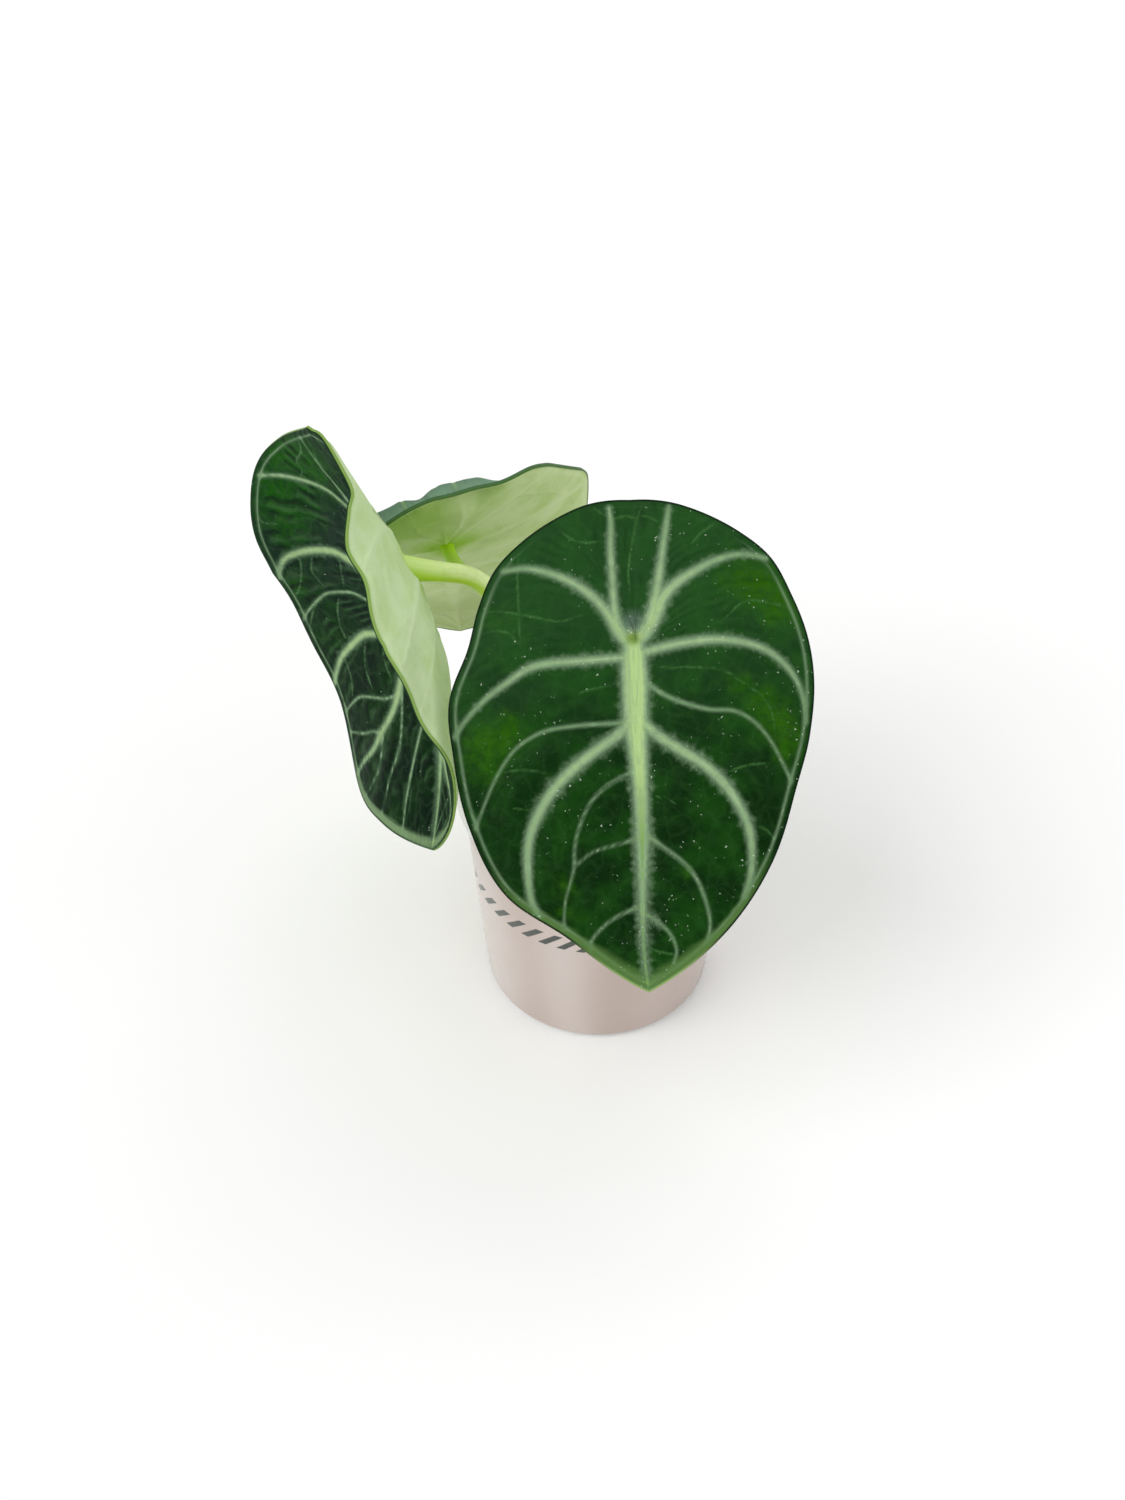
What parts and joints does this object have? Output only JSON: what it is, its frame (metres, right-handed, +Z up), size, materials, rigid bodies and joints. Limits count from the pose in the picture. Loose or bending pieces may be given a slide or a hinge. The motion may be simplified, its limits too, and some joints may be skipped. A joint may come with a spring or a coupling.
{
  "type": "potted ninja alocasia",
  "caption": "Young aroid house plant: shield-shaped dark leaves with silvery veins on slim arching stalks, in soil in a small round glossy pot with a thin sleeve.",
  "frame": {"origin": "centre of the pot's base, on the surface that the pot stands on", "axes": "+Z up along the pot's axis, +Y to the back of the plant, away from the side that the front leaf faces, +X to its right"},
  "size_m": [0.0894, 0.1032, 0.1141],
  "materials": {
    "pot": "smooth white moulded plastic",
    "sleeve": "thin glossy printed film",
    "soil": "moist potting mix with bark and perlite",
    "crown": "ribbed green leaf bases",
    "stalk": "smooth waxy light green",
    "leaf": "quilted velvety dark green, silvery veins, pale underside"
  },
  "bodies": {
    "root": {"pot": "pot", "pot_sleeve": "sleeve", "soil": "soil", "crown": "crown", "petiole_front": "stalk", "petiole_left": "stalk", "petiole_back": "stalk", "blade_front": "leaf", "blade_left": "leaf", "blade_back": "leaf"}
  },
  "joints": []
}
